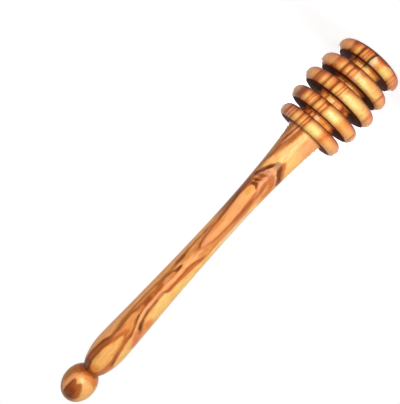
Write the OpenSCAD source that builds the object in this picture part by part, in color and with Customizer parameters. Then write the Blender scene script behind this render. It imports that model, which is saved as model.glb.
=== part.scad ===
// Wooden honey dipper, turned in olive wood: a long handle that ends in a ball,
// and a ringed head whose grooves hold the honey. Millimetres.
// Each piece is drawn on its turning axis with the ball's end at zero, and is then
// turned over: the dipper stands on the flat end of its head, with the ball on top.

/* [Ball end] */
// Diameter of the ball across the turning axis
ball_d = 12.6; // [10:0.1:15]
// Length of the ball along the axis, as if it were whole
ball_len = 14.9; // [12:0.1:18]

/* [Neck] */
// Diameter at the bottom of the groove between the ball and the swell
neck_d = 6.2; // [4:0.1:8]
// Angle between the axis and the side of that groove toward the swell, in degrees
neck_flank = 56; // [30:1:70]
// How far that side keeps its direction
neck_flank_len = 1.6; // [0.5:0.1:3]

/* [Swell] */
// Largest diameter of the handle, just above the neck
swell_d = 12.4; // [10:0.1:15]
// Distance from the neck to the widest place
swell_rise = 11.7; // [9:0.1:16]
// How far the swell stays full toward the neck
swell_fullness_below = 6.2; // [2:0.1:8]
// How far the swell stays full toward the waist
swell_fullness_above = 5.1; // [2:0.1:15]

/* [Waist] */
// Smallest diameter of the handle
waist_d = 8.7; // [7:0.1:10]
// Distance from the swell's widest place to the waist
taper_len = 63.8; // [45:0.1:90]
// How far the waist stays slim toward the swell
waist_ease_below = 27.1; // [10:0.1:30]
// How far the waist stays slim toward the shoulder
waist_ease_above = 7.3; // [3:0.1:15]

/* [Shoulder] */
// Diameter where the handle meets the head
shoulder_d = 13.6; // [12:0.1:16]
// Distance from the waist to the shoulder
flare_len = 37.5; // [25:0.1:50]
// Angle of the flare against the axis at the shoulder, in degrees
flare_angle = 12.8; // [5:0.1:20]
// How far the flare keeps that angle
flare_run = 9.3; // [4:0.1:15]

/* [Tenon joint] */
// Diameter of the round tenon on the handle
tenon_d = 7; // [5:0.1:7.5]
// Length of the tenon past the shoulder
tenon_len = 20; // [12:0.1:24]
// Chamfer on the tenon's end
tenon_chamfer = 0.6; // [0.2:0.1:1.2]
// Glue gap all round the tenon, on the radius
joint_clearance = 0.05; // [0.02:0.01:0.15]
// Space for surplus glue past the tenon's end
glue_space = 0.5; // [0.2:0.1:2]

/* [Rings] */
// Diameter of the first ring, next to the handle
ring1_d = 24.4; // [20:0.1:28]
// Diameter of the second ring
ring2_d = 26.6; // [22:0.1:31]
// Diameter of the third ring, the widest
ring3_d = 28; // [24:0.1:34]
// Diameter of the fourth ring
ring4_d = 26.2; // [22:0.1:31]
// Diameter of the fifth ring, at the dipper's end
ring5_d = 24; // [20:0.1:28]
// Thickness of the first four rings
ring_t = 4.8; // [4:0.1:6]
// Thickness of the fifth ring
end_ring_t = 4.3; // [3.5:0.1:6]
// Radius that rounds a ring's rim on both sides, up to half its thickness
rim_r = 2.2; // [1:0.1:2.4]
// Radius of the hollow where a ring runs into the core
root_r = 0.5; // [0.2:0.1:0.8]

/* [Grooves] */
// Width of the groove between rings one and two
groove1_w = 2.05; // [1.6:0.05:3.5]
// Width of the groove between rings two and three
groove2_w = 2.5; // [1.6:0.05:3.5]
// Width of the groove between rings three and four
groove3_w = 2.05; // [1.6:0.05:3.5]
// Width of the groove between rings four and five
groove4_w = 2.7; // [1.6:0.05:3.5]
// Diameter of the core in the first groove
core1_d = 12.9; // [11:0.1:16]
// Diameter of the core in the second groove
core2_d = 12.6; // [11:0.1:16]
// Diameter of the core in the third groove
core3_d = 11.9; // [10:0.1:16]
// Diameter of the core in the fourth groove
core4_d = 10.9; // [9:0.1:16]

/* [Hidden] */
$fn = 96;

// Straight steps on each curved stretch of the outline
ball_steps = 24;
swell_steps = 12;
taper_steps = 24;
flare_steps = 16;
// Shapes that are joined reach into each other by this much
bite = 0.01;

handle_tint = [0.83, 0.56, 0.29];
head_tint = [0.88, 0.62, 0.33];

ball_r = ball_d / 2;
ball_half = ball_len / 2;
neck_r = neck_d / 2;
swell_r = swell_d / 2;
waist_r = waist_d / 2;
shoulder_r = shoulder_d / 2;
tenon_r = tenon_d / 2;
socket_r = tenon_r + joint_clearance;
socket_depth = tenon_len + glue_space;

// Places along the turning axis, from the ball's end. The neck lies where the ball
// has come down to the neck's radius.
neck_angle = asin(neck_r / ball_r);
neck_z = ball_half + ball_half * cos(neck_angle);
swell_z = neck_z + swell_rise;
waist_z = swell_z + taper_len;
shoulder_z = waist_z + flare_len;

ring_r = [ring1_d / 2, ring2_d / 2, ring3_d / 2, ring4_d / 2, ring5_d / 2];
core_r = [core1_d / 2, core2_d / 2, core3_d / 2, core4_d / 2];
groove_w = [groove1_w, groove2_w, groove3_w, groove4_w];
last_ring = len(ring_r) - 1;

// Thickness of ring i
function thickness(i) = i == last_ring ? end_ring_t : ring_t;

// Where ring i begins: the shoulder, then each ring and groove in turn
function ring_z(i) = i == 0 ? shoulder_z : ring_z(i - 1) + thickness(i - 1) + groove_w[i - 1];

// Point at the share u of a curve from a to d that leaves toward b and arrives from c
function bezier(a, b, c, d, u) =
    pow(1 - u, 3) * a + 3 * pow(1 - u, 2) * u * b + 3 * (1 - u) * u * u * c + pow(u, 3) * d;

// The same curve as points, without its first one
function stretch(a, b, c, d, steps) = [for (i = [1:steps]) bezier(a, b, c, d, i / steps)];

// Outline of the handle as [radius, height] from the ball's end up to the shoulder
ball_line = [for (i = [0:ball_steps])
    let (turn = 180 - (180 - neck_angle) * i / ball_steps)
    [ball_r * sin(turn), ball_half + ball_half * cos(turn)]];
swell_line = stretch(
    [neck_r, neck_z],
    [neck_r + neck_flank_len * sin(neck_flank), neck_z + neck_flank_len * cos(neck_flank)],
    [swell_r, swell_z - swell_fullness_below],
    [swell_r, swell_z], swell_steps);
taper_line = stretch(
    [swell_r, swell_z],
    [swell_r, swell_z + swell_fullness_above],
    [waist_r, waist_z - waist_ease_below],
    [waist_r, waist_z], taper_steps);
flare_line = stretch(
    [waist_r, waist_z],
    [waist_r, waist_z + waist_ease_above],
    [shoulder_r - flare_run * sin(flare_angle), shoulder_z - flare_run * cos(flare_angle)],
    [shoulder_r, shoulder_z], flare_steps);
handle_line = concat(ball_line, swell_line, taper_line, flare_line, [[0, shoulder_z]]);

// Length of the whole dipper along the axis
overall_len = ring_z(last_ring) + thickness(last_ring);

// Turns a piece over, so that the flat end of the head comes down to zero
module stand() {
    translate([0, 0, overall_len]) rotate([180, 0, 0]) children();
}

// Half section of one ring: a flat disc whose rim is rounded on both sides
module ring_section(r, t) {
    edge = min(rim_r, t / 2);
    square([r - edge, t]);
    if (t > 2 * edge) translate([0, edge]) square([r, t - 2 * edge]);
    for (z = [edge, t - edge]) translate([r - edge, z]) circle(r = edge);
}

// Half section of the core in one groove, with a small hollow at each ring's root
module core_section(r, w) {
    difference() {
        translate([0, -bite]) square([r + root_r, w + 2 * bite]);
        translate([r, root_r]) square([root_r + bite, w - 2 * root_r]);
        for (z = [root_r, w - root_r]) translate([r + root_r, z]) circle(r = root_r);
    }
}

// The handle: ball, neck, swell, slim waist and flare in one turning, with the tenon
module handle() {
    color(handle_tint) stand() {
        rotate_extrude() polygon(handle_line);
        translate([0, 0, shoulder_z - bite])
            cylinder(r = tenon_r, h = tenon_len - tenon_chamfer + bite);
        translate([0, 0, shoulder_z + tenon_len - tenon_chamfer])
            cylinder(r1 = tenon_r, r2 = tenon_r - tenon_chamfer, h = tenon_chamfer);
    }
}

// The head: five rings on a core that gets slimmer toward the end, with a blind socket
module dipper_head() {
    color(head_tint) stand() difference() {
        rotate_extrude() {
            for (i = [0:last_ring])
                translate([0, ring_z(i)]) ring_section(ring_r[i], thickness(i));
            for (i = [0:last_ring - 1])
                translate([0, ring_z(i) + thickness(i)]) core_section(core_r[i], groove_w[i]);
        }
        translate([0, 0, shoulder_z - bite])
            cylinder(r = socket_r, h = socket_depth + bite);
    }
}

handle();
dipper_head();
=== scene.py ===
"""A honey dipper turned in olive wood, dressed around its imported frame.

The dipper stands on the flat end of its head, with the ball on top. Places along it are
counted in millimetres from the ball's end, as a turner marks a blank. Across it, depth is
counted from the axis toward the side that the camera sees, and width to that side's right.
"""

import logging
import math
from dataclasses import dataclass
from enum import Enum
from functools import reduce

import bpy
from mathutils import Matrix, Vector


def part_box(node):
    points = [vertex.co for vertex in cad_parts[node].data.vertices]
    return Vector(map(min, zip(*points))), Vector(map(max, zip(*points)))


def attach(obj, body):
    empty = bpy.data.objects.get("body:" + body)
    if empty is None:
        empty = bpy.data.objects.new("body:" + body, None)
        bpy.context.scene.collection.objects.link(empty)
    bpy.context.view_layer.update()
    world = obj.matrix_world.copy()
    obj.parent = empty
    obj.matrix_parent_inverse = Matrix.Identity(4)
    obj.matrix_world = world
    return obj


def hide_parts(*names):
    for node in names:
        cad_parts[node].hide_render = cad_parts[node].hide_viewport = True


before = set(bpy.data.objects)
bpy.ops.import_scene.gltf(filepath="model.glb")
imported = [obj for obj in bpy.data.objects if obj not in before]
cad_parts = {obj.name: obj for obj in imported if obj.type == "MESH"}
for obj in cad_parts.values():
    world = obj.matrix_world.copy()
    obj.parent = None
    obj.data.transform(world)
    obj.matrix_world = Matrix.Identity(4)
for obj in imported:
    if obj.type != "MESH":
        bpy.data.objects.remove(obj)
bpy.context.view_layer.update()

MM = 0.001
BODY = "root"
SAME_SPOT = 0.002 * MM
SMOOTH_UP_TO = math.radians(40)
NOISE_ROUGHNESS = 0.55
NOISE_SPREAD = 4.0
WHITE = (1, 1, 1, 1)
log = logging.getLogger("dipper")

Point = tuple[float, float]
Colour = tuple[float, float, float, float]


def linear(srgb: tuple[int, int, int]) -> Colour:
    """Turns a colour as a paint chart gives it, 0 to 255, into the linear one of a shader.

    Args:
        srgb: red, green and blue, 0 to 255.

    Returns:
        Linear red, green, blue and an alpha of 1.
    """
    shares = [channel / 255 for channel in srgb]
    straight = [s / 12.92 if s <= 0.04045 else ((s + 0.055) / 1.055) ** 2.4 for s in shares]
    return (straight[0], straight[1], straight[2], 1.0)


class Tone(Enum):
    """The tones that olive wood shows, from its sapwood to its darkest growth lines, and two painted
    highlights.
    """

    GOLD = (242, 168, 88)
    HONEY = (250, 184, 108)
    PALE = (252, 200, 118)
    STRAW = (253, 216, 126)
    CREAM = (250, 214, 162)
    # The next two are painted highlights, for the middle of the flare and for the rings.
    PAINTED_FLARE_HIGHLIGHT = (253, 208, 142)
    PAINTED_RING_HIGHLIGHT = (254, 230, 158)
    PEACH = (250, 172, 114)
    TAN = (222, 158, 104)
    UMBER = (150, 92, 60)
    OCHRE = (228, 140, 62)
    ORANGE = (226, 126, 60)
    OLIVE = (162, 98, 38)
    CLAY = (196, 106, 52)
    BROWN = (160, 78, 32)
    RUST = (134, 60, 26)
    DARK = (90, 38, 12)
    PINK = (226, 142, 100)
    ROSE = (252, 180, 144)
    AMBER = (240, 160, 104)
    OILED = (150, 78, 48)
    BLUSH = (214, 114, 72)
    ASH = (190, 138, 112)
    BLACK = (20, 8, 4)

    @property
    def linear(self) -> Colour:
        """The tone as a shader takes it."""
        return linear(self.value)


class Wire:
    """A value that runs from a node's socket. Arithmetic on it adds Math nodes."""

    def __init__(self, bench: "Bench", socket: bpy.types.NodeSocket) -> None:
        """Keeps the socket and the bench whose nodes it belongs to."""
        self.bench = bench
        self.socket = socket

    def math(self, operation: str, *others: "Wire | float") -> "Wire":
        """Adds one Math node that starts from this value.

        Args:
            operation: the Math node's operation.
            others: its second and third value.

        Returns:
            The node's result.
        """
        values = dict(enumerate((self, *others)))
        return self.bench.out("ShaderNodeMath", {"operation": operation}, values)

    def __add__(self, other: "Wire | float") -> "Wire":
        """Sum."""
        return self.math("ADD", other)

    __radd__ = __add__

    def __mul__(self, other: "Wire | float") -> "Wire":
        """Product."""
        return self.math("MULTIPLY", other)

    __rmul__ = __mul__

    def __sub__(self, other: "Wire | float") -> "Wire":
        """Difference."""
        return self.math("SUBTRACT", other)

    def __rsub__(self, other: float) -> "Wire":
        """Difference the other way round."""
        return self.bench.out("ShaderNodeMath", {"operation": "SUBTRACT"}, {0: other, 1: self})

    def __abs__(self) -> "Wire":
        """Size without its sign."""
        return self.math("ABSOLUTE")

    def most(self, other: "Wire") -> "Wire":
        """The larger of two values."""
        return self.math("MAXIMUM", other)

    def gain(self, factor: float, offset: float) -> "Wire":
        """The value times a factor plus an offset, in one node."""
        return self.math("MULTIPLY_ADD", factor, offset)

    def ease(self, start: float, end: float, low: float = 0.0, high: float = 1.0) -> "Wire":
        """Runs softly from low to high while the value goes from start to end.

        The smooth step stays between low and high by itself, so the node's clamp is off. A
        clamp for each mark would be more than one material can hold.

        Args:
            start: value at which the result is low.
            end: value at which the result is high.
            low: result before start.
            high: result past end.

        Returns:
            The eased value.
        """
        return self.bench.out(
            "ShaderNodeMapRange", {"interpolation_type": "SMOOTHSTEP", "clamp": False},
            {"Value": self, "From Min": start, "From Max": end, "To Min": low, "To Max": high},
        )


@dataclass(frozen=True)
class Grain:
    """Sizes of one noise in the wood.

    Width and length are the size of its features across and along the grain, in mm. Detail
    is how many octaves of finer noise it has, and shift sets it apart from the others.
    """

    width: float
    length: float
    detail: float
    shift: float = 0.0


class Bench:
    """The node tree of one material or world, and the few ways in which it grows."""

    def __init__(self, holder: bpy.types.Material | bpy.types.World) -> None:
        """Clears a tree and takes it.

        Args:
            holder: the material or world whose tree it is.
        """
        holder.use_nodes = True
        self.tree = holder.node_tree
        self.tree.nodes.clear()

    def node(self, kind: str, settings: dict | None = None, values: dict | None = None) -> bpy.types.Node:
        """Adds a node.

        Args:
            kind: Blender's name of the node type.
            settings: its properties, set first. "points" shapes a Float Curve as places of
                0 to 1, and "stops" a Color Ramp as places with linear colours.
            values: numbers, colours or wires for its sockets, by name or number.

        Returns:
            The node.
        """
        made = self.tree.nodes.new(kind)
        for name, value in (settings or {}).items():
            if name == "points":
                self._shape_curve(made.mapping, value)
            elif name == "stops":
                self._shape_ramp(made.color_ramp, value)
            else:
                setattr(made, name, value)
        for key, value in (values or {}).items():
            if isinstance(value, Wire):
                self.tree.links.new(value.socket, made.inputs[key])
            else:
                made.inputs[key].default_value = value
        return made

    def out(self, kind: str, settings: dict | None = None, values: dict | None = None,
            socket: str | int = 0) -> Wire:
        """Adds a node and hands on one of its outputs.

        Args:
            kind: Blender's name of the node type.
            settings: its properties.
            values: numbers, colours or wires for its sockets.
            socket: the output's name or number.

        Returns:
            That output.
        """
        return Wire(self, self.node(kind, settings, values).outputs[socket])

    def close(self, kind: str, last: bpy.types.Node) -> None:
        """Leads the last node to the tree's output, whose type is given."""
        self.tree.links.new(last.outputs[0], self.node(kind).inputs[0])

    def _shape_curve(self, mapping: bpy.types.CurveMapping, points: list[Point]) -> None:
        """Lays a Float Curve through points without overshoot.

        Args:
            mapping: the node's curve.
            points: places of 0 to 1 with the value there.
        """
        mapping.extend = "HORIZONTAL"
        line = mapping.curves[0].points
        while len(line) < len(points):
            line.new(0.5, 0.5)
        for spot, place in zip(line, points):
            spot.location = place
            spot.handle_type = "AUTO_CLAMPED"
        mapping.update()

    def _shape_ramp(self, ramp: bpy.types.ColorRamp, stops: list[tuple[float, Colour]]) -> None:
        """Gives a Color Ramp its stops.

        Args:
            ramp: the node's ramp.
            stops: places of 0 to 1 in rising order, with the colour there.
        """
        while len(ramp.elements) < len(stops):
            ramp.elements.new(1.0)
        for element, (place, colour) in zip(ramp.elements, stops):
            element.position = place
            element.color = colour

    def mix(self, share: Wire | float, first: Wire | Colour, second: Wire | Colour,
            blend: str = "MIX") -> Wire:
        """Mixes two colours.

        Args:
            share: how much of the second shows, 0 to 1.
            first: colour underneath.
            second: colour on top.
            blend: the Mix node's blend type.

        Returns:
            The mixed colour.
        """
        return self.out(
            "ShaderNodeMix", {"data_type": "RGBA", "blend_type": blend},
            {0: share, 6: first, 7: second}, 2,
        )

    def seen(self) -> Wire:
        """Tells apart the rays that show a surface from those that light the wood.

        Returns:
            1 for rays from the camera, by reflection or through glass, and 0 for others.
        """
        path = self.node("ShaderNodeLightPath")
        camera, glossy, through = (
            Wire(self, path.outputs[f"Is {kind} Ray"]) for kind in ("Camera", "Glossy", "Transmission"))
        return camera.most(glossy).most(through)


@dataclass(frozen=True)
class Place:
    """A place in the wood, in mm: across the dipper, in depth and along it."""

    bench: Bench
    across: Wire
    depth: Wire
    along: Wire

    def noise(self, grain: Grain) -> Wire:
        """A smooth noise stretched along the grain.

        Args:
            grain: sizes of the noise.

        Returns:
            A value from about -1 to 1.
        """
        spot = self.bench.out("ShaderNodeCombineXYZ", {}, {
            0: self.across.gain(1 / grain.width, grain.shift),
            1: self.depth.gain(1 / grain.width, 2 * grain.shift),
            2: self.along.gain(1 / grain.length, 3 * grain.shift)})
        raw = self.bench.out("ShaderNodeTexNoise", {"noise_dimensions": "3D"}, {
            "Vector": spot, "Scale": 1.0, "Detail": grain.detail, "Roughness": NOISE_ROUGHNESS})
        return raw.gain(NOISE_SPREAD, -NOISE_SPREAD / 2)


def bezier(a: Point, b: Point, c: Point, d: Point, steps: int) -> list[Point]:
    """Points of a curve from a to d that leaves toward b and arrives from c.

    Args:
        a: start.
        b: pull at the start.
        c: pull at the end.
        d: end.
        steps: number of points.

    Returns:
        The points after a, up to and with d.
    """
    line = []
    for i in range(1, steps + 1):
        u = i / steps
        w = ((1 - u) ** 3, 3 * (1 - u) ** 2 * u, 3 * (1 - u) * u * u, u ** 3)
        line.append(tuple(sum(k * p[n] for k, p in zip(w, (a, b, c, d))) for n in (0, 1)))
    return line


def off(point: Point, angle: float, run: float) -> Point:
    """The point at a run from another, at an angle in degrees from the dipper's length."""
    turn = math.radians(angle)
    return (point[0] + run * math.sin(turn), point[1] + run * math.cos(turn))


def arc(centre: Point, radius: float, start: float, end: float, steps: int,
        stretch: float = 1.0) -> list[Point]:
    """Points of a round stretch of an outline.

    Args:
        centre: radius and place of its centre.
        radius: its own radius.
        start: first angle in degrees, from outward toward the head's end.
        end: last angle in degrees.
        steps: number of steps.
        stretch: its radius along the dipper as a share of the one across.

    Returns:
        The points, with both ends.
    """
    turns = [math.radians(start + (end - start) * i / steps) for i in range(steps + 1)]
    return [(centre[0] + radius * math.cos(t), centre[1] + radius * stretch * math.sin(t))
            for t in turns]


def turned(name: str, outline: list[Point], length: float, steps: int,
           finish: bpy.types.Material) -> bpy.types.Object:
    """Turns an outline about the standing axis, as a lathe does.

    A small plane is merged to one corner, from which the outline is extruded.

    Args:
        name: name of the piece.
        outline: radius and place from the ball's end, in mm, from axis to axis.
        length: length of the whole dipper, which brings the head's end down to zero.
        steps: number of steps round the axis.
        finish: the wood.

    Returns:
        The closed piece, with its object at the origin.
    """
    spots = [Vector((r * MM, 0, (length - z) * MM)) for r, z in outline]
    bpy.ops.object.select_all(action="DESELECT")
    bpy.ops.mesh.primitive_plane_add(size=MM, location=spots[0])
    piece = bpy.context.object
    piece.name = name
    bpy.ops.object.mode_set(mode="EDIT")
    bpy.ops.mesh.select_mode(type="VERT")
    bpy.ops.mesh.merge(type="CENTER")
    for before, after in zip(spots, spots[1:]):
        bpy.ops.mesh.extrude_region_move(TRANSFORM_OT_translate={"value": after - before})
    bpy.ops.mesh.select_all(action="SELECT")
    bpy.ops.mesh.spin(steps=steps, angle=2 * math.pi, center=(0, 0, 0), axis=(0, 0, 1))
    bpy.ops.mesh.select_all(action="SELECT")
    bpy.ops.mesh.remove_doubles(threshold=SAME_SPOT)
    bpy.ops.mesh.normals_make_consistent(inside=False)
    bpy.ops.object.mode_set(mode="OBJECT")
    bpy.ops.object.transform_apply(location=True, rotation=True, scale=True)
    bpy.ops.object.shade_smooth_by_angle(angle=SMOOTH_UP_TO)
    piece.data.materials.append(finish)
    return piece


@dataclass(frozen=True)
class Handle:
    """The handle: ball, neck, swell, slim waist and flare in one turning, with its tenon."""

    ball_r: float = 6.3
    ball_len: float = 14.9
    ball_steps: int = 56
    neck_r: float = 3.1
    neck_flank: float = 56.0
    neck_flank_len: float = 1.6
    swell_r: float = 6.2
    swell_rise: float = 11.7
    swell_fullness_below: float = 6.2
    swell_fullness_above: float = 5.1
    swell_steps: int = 26
    waist_r: float = 4.35
    taper_len: float = 63.8
    taper_steps: int = 48
    waist_ease_below: float = 27.1
    waist_ease_above: float = 7.3
    shoulder_r: float = 6.8
    flare_len: float = 37.5
    flare_angle: float = 12.8
    flare_run: float = 9.3
    flare_steps: int = 34
    tenon_r: float = 3.5
    tenon_len: float = 20.0
    tenon_chamfer: float = 0.6
    steps_round: int = 160

    @property
    def neck_z(self) -> float:
        """Place of the neck, where the ball has come down to the neck's radius."""
        half = self.ball_len / 2
        return half + half * math.sqrt(1 - (self.neck_r / self.ball_r) ** 2)

    @property
    def swell_z(self) -> float:
        """Place of the widest part of the swell."""
        return self.neck_z + self.swell_rise

    @property
    def waist_z(self) -> float:
        """Place of the slimmest part."""
        return self.swell_z + self.taper_len

    @property
    def shoulder_z(self) -> float:
        """Place where the handle meets the head."""
        return self.waist_z + self.flare_len

    def outline(self) -> list[Point]:
        """The outline as radius and place, from the ball's end to the tenon's end.

        Returns:
            The points of the outline.
        """
        half = self.ball_len / 2
        neck_turn = math.degrees(math.acos(self.neck_r / self.ball_r))
        line = arc((0, half), self.ball_r, -90, neck_turn, self.ball_steps, half / self.ball_r)
        line[0] = (0.0, 0.0)
        neck, swell = (self.neck_r, self.neck_z), (self.swell_r, self.swell_z)
        waist, shoulder = (self.waist_r, self.waist_z), (self.shoulder_r, self.shoulder_z)
        line += bezier(neck, off(neck, self.neck_flank, self.neck_flank_len),
                       off(swell, 0, -self.swell_fullness_below), swell, self.swell_steps)
        line += bezier(swell, off(swell, 0, self.swell_fullness_above),
                       off(waist, 0, -self.waist_ease_below), waist, self.taper_steps)
        line += bezier(waist, off(waist, 0, self.waist_ease_above),
                       off(shoulder, self.flare_angle, -self.flare_run), shoulder, self.flare_steps)
        tenon_end = self.shoulder_z + self.tenon_len
        line += [(self.tenon_r, self.shoulder_z), (self.tenon_r, tenon_end - self.tenon_chamfer),
                 (self.tenon_r - self.tenon_chamfer, tenon_end), (0.0, tenon_end)]
        return line

    def build(self, length: float, finish: bpy.types.Material) -> bpy.types.Object:
        """Turns the handle for a dipper of a length in mm, and gives it its wood."""
        return turned("turned_handle", self.outline(), length, self.steps_round, finish)


@dataclass(frozen=True)
class Face:
    """A flat face of a ring, by which shade is painted.

    Z is its place, begin and full are how far off it the painted shade begins and is full,
    and inner_r is the radius from which it reaches outward.
    """

    z: float
    begin: float
    full: float
    inner_r: float


@dataclass(frozen=True)
class Head:
    """The head: five rings with rounded rims on a core that gets slimmer toward the end.

    It starts at the shoulder's place. The painted shade of a flat face begins close by it on
    the side toward the handle, and reaches round the rim on the side toward the end.
    """

    start: float
    ring_r: tuple[float, ...] = (12.2, 13.3, 14.0, 13.1, 12.0)
    ring_t: tuple[float, ...] = (4.8, 4.8, 4.8, 4.8, 4.3)
    rim_r: float = 2.2
    rim_steps: int = 12
    root_r: float = 0.5
    root_steps: int = 5
    groove_w: tuple[float, ...] = (2.05, 2.5, 2.05, 2.7)
    core_r: tuple[float, ...] = (6.45, 6.3, 5.95, 5.45)
    shoulder_r: float = 6.8
    socket_r: float = 3.55
    socket_depth: float = 20.5
    # Painted shade by the rings' faces: how far off them it is full, and how far it reaches on the near
    # and far side.
    painted_shade_full: float = 0.1
    painted_shade_near: float = 0.35
    painted_shade_far: float = 3.3
    steps_round: int = 208

    def ring_z(self) -> list[float]:
        """Places where the rings begin.

        Returns:
            One place for each ring.
        """
        places = [self.start]
        for thick, width in zip(self.ring_t, self.groove_w):
            places.append(places[-1] + thick + width)
        return places

    def faces(self) -> tuple[Face, ...]:
        """The rings' flat faces.

        Returns:
            The faces toward the handle, then those toward the end.
        """
        full = self.painted_shade_full
        rings = list(zip(self.ring_z(), self.ring_t))
        near = [Face(z - full, self.painted_shade_near, full, inner)
                for (z, thick), inner in zip(rings, (self.shoulder_r, *self.core_r))]
        far = [Face(z + thick + full, self.painted_shade_far, full, inner)
               for (z, thick), inner in zip(rings, (*self.core_r, 0.0))]
        return tuple(near + far)

    def ring_line(self, radius: float, z: float, thick: float) -> list[Point]:
        """Outline of one ring's rim: round edge, narrow flat, round edge.

        Args:
            radius: the ring's radius.
            z: place where the ring begins.
            thick: its thickness.

        Returns:
            The points between its flat faces.
        """
        edge = min(self.rim_r, thick / 2)
        inner = radius - edge
        return (arc((inner, z + edge), edge, -90, 0, self.rim_steps)
                + arc((inner, z + thick - edge), edge, 0, 90, self.rim_steps))

    def groove_line(self, core: float, z: float, width: float) -> list[Point]:
        """Outline of one groove's floor, with a small hollow at each ring's root.

        Args:
            core: radius of the core there.
            z: place where the groove begins.
            width: its width.

        Returns:
            The points between the rings.
        """
        root, middle = self.root_r, core + self.root_r
        return (arc((middle, z + root), root, -90, -180, self.root_steps)
                + arc((middle, z + width - root), root, 180, 90, self.root_steps))

    def outline(self) -> list[Point]:
        """The outline as radius and place, from the socket's floor round to the end face.

        Returns:
            The points of the outline.
        """
        floor = self.start + self.socket_depth
        line = [(0.0, floor), (self.socket_r, floor), (self.socket_r, self.start)]
        places = self.ring_z()
        for i, (radius, z, thick) in enumerate(zip(self.ring_r, places, self.ring_t)):
            line += self.ring_line(radius, z, thick)
            if i < len(self.groove_w):
                line += self.groove_line(self.core_r[i], z + thick, self.groove_w[i])
        line.append((0.0, places[-1] + self.ring_t[-1]))
        return line

    def build(self, length: float, finish: bpy.types.Material) -> bpy.types.Object:
        """Turns the head for a dipper of a length in mm, and gives it its wood."""
        return turned("turned_head", self.outline(), length, self.steps_round, finish)


@dataclass(frozen=True)
class Streak:
    """A line in the wood.

    Its course lists places along the dipper, each with the line's place across it and
    its strength. Half is how far from its middle it has faded to half.
    """

    tone: Tone
    half: float
    course: tuple[tuple[float, float, float], ...]


@dataclass(frozen=True)
class Field:
    """A patch of another tone.

    Its course lists places along the dipper, each with the patch's left and right edge
    and its strength. Soft is the width over which an edge fades.
    """

    tone: Tone
    soft: float
    course: tuple[tuple[float, float, float, float], ...]


@dataclass(frozen=True)
class Growth:
    """Growth lines that lie side by side across one ring or one groove of the head.

    They begin at a place along the dipper and go on to its end. Lines lists for each tone
    its places across the dipper, as they are at the ring's middle.
    """

    begin: float
    middle: float
    lines: dict[Tone, tuple[float, ...]]


@dataclass(frozen=True)
class Veil:
    """A noise that lays a tone over the wood.

    The tone begins to show where the noise passes start, and where it passes end it has
    its full share.
    """

    grain: Grain
    start: float
    end: float
    share: float
    tone: Tone
    blend: str = "MIX"
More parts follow.
